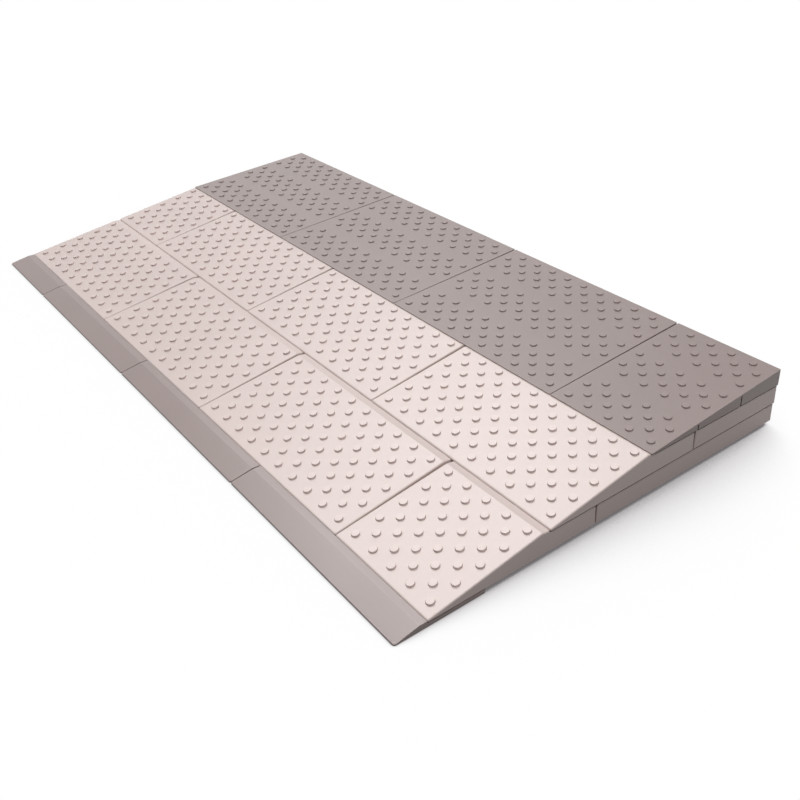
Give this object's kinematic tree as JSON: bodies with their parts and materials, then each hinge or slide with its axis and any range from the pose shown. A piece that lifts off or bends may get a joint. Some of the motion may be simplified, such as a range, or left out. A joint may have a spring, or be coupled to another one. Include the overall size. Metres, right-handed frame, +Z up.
{
  "type": "modular threshold ramp",
  "caption": "Modular plastic threshold ramp: studded wedge tiles in brick bond on stacked layers, with a thin front edge, so a wheelchair can roll up to a door sill.",
  "frame": {"origin": "on the floor under the middle of the ramp's box", "axes": "+X across the ramp, +Y up the slope towards the sill, +Z up"},
  "size_m": [0.8394, 0.4418, 0.0611],
  "materials": {
    "edge_plastic": "grey-brown moulded plastic, fine matte grain",
    "tile_plastic": "pale warm grey moulded plastic, fine matte grain",
    "base_plastic": "pale warm grey moulded plastic, fine matte grain",
    "top_plastic": "grey-brown moulded plastic, fine matte grain",
    "peg_plastic": "dark moulded plastic"
  },
  "bodies": {
    "ground_layer": {"front_edge_half": "edge_plastic", "front_edge_full_1": "edge_plastic", "front_edge_full_2": "edge_plastic", "front_edge_full_3": "edge_plastic", "lower_tile_full_1": "tile_plastic", "lower_tile_full_2": "tile_plastic", "lower_tile_full_3": "tile_plastic", "lower_tile_half": "tile_plastic", "ground_base_1": "base_plastic", "ground_base_2": "base_plastic", "ground_base_3": "base_plastic", "ground_base_4": "base_plastic", "ground_connector_pegs": "peg_plastic"},
    "middle_layer": {"upper_tile_half": "tile_plastic", "upper_tile_full_1": "tile_plastic", "upper_tile_full_2": "tile_plastic", "upper_tile_full_3": "tile_plastic", "middle_base_1": "base_plastic", "middle_base_2": "base_plastic", "middle_base_3": "base_plastic", "middle_base_4": "base_plastic", "middle_connector_pegs": "peg_plastic"},
    "top_tile_full_1": {"top_tile_full_1": "top_plastic"},
    "top_tile_full_2": {"top_tile_full_2": "top_plastic"},
    "top_tile_full_3": {"top_tile_full_3": "top_plastic"},
    "top_tile_half": {"top_tile_half": "top_plastic"}
  },
  "joints": [
    {"name": "middle_layer_lift", "type": "slide", "parent": "ground_layer", "child": "middle_layer", "axis": [0, 0, 1], "range_m": [0, 0.03]},
    {"name": "top_tile_full_1_lift", "type": "slide", "parent": "middle_layer", "child": "top_tile_full_1", "axis": [0, 0, 1], "range_m": [0, 0.03]},
    {"name": "top_tile_full_2_lift", "type": "slide", "parent": "middle_layer", "child": "top_tile_full_2", "axis": [0, 0, 1], "range_m": [0, 0.03]},
    {"name": "top_tile_full_3_lift", "type": "slide", "parent": "middle_layer", "child": "top_tile_full_3", "axis": [0, 0, 1], "range_m": [0, 0.03]},
    {"name": "top_tile_half_lift", "type": "slide", "parent": "middle_layer", "child": "top_tile_half", "axis": [0, 0, 1], "range_m": [0, 0.03]}
  ]
}
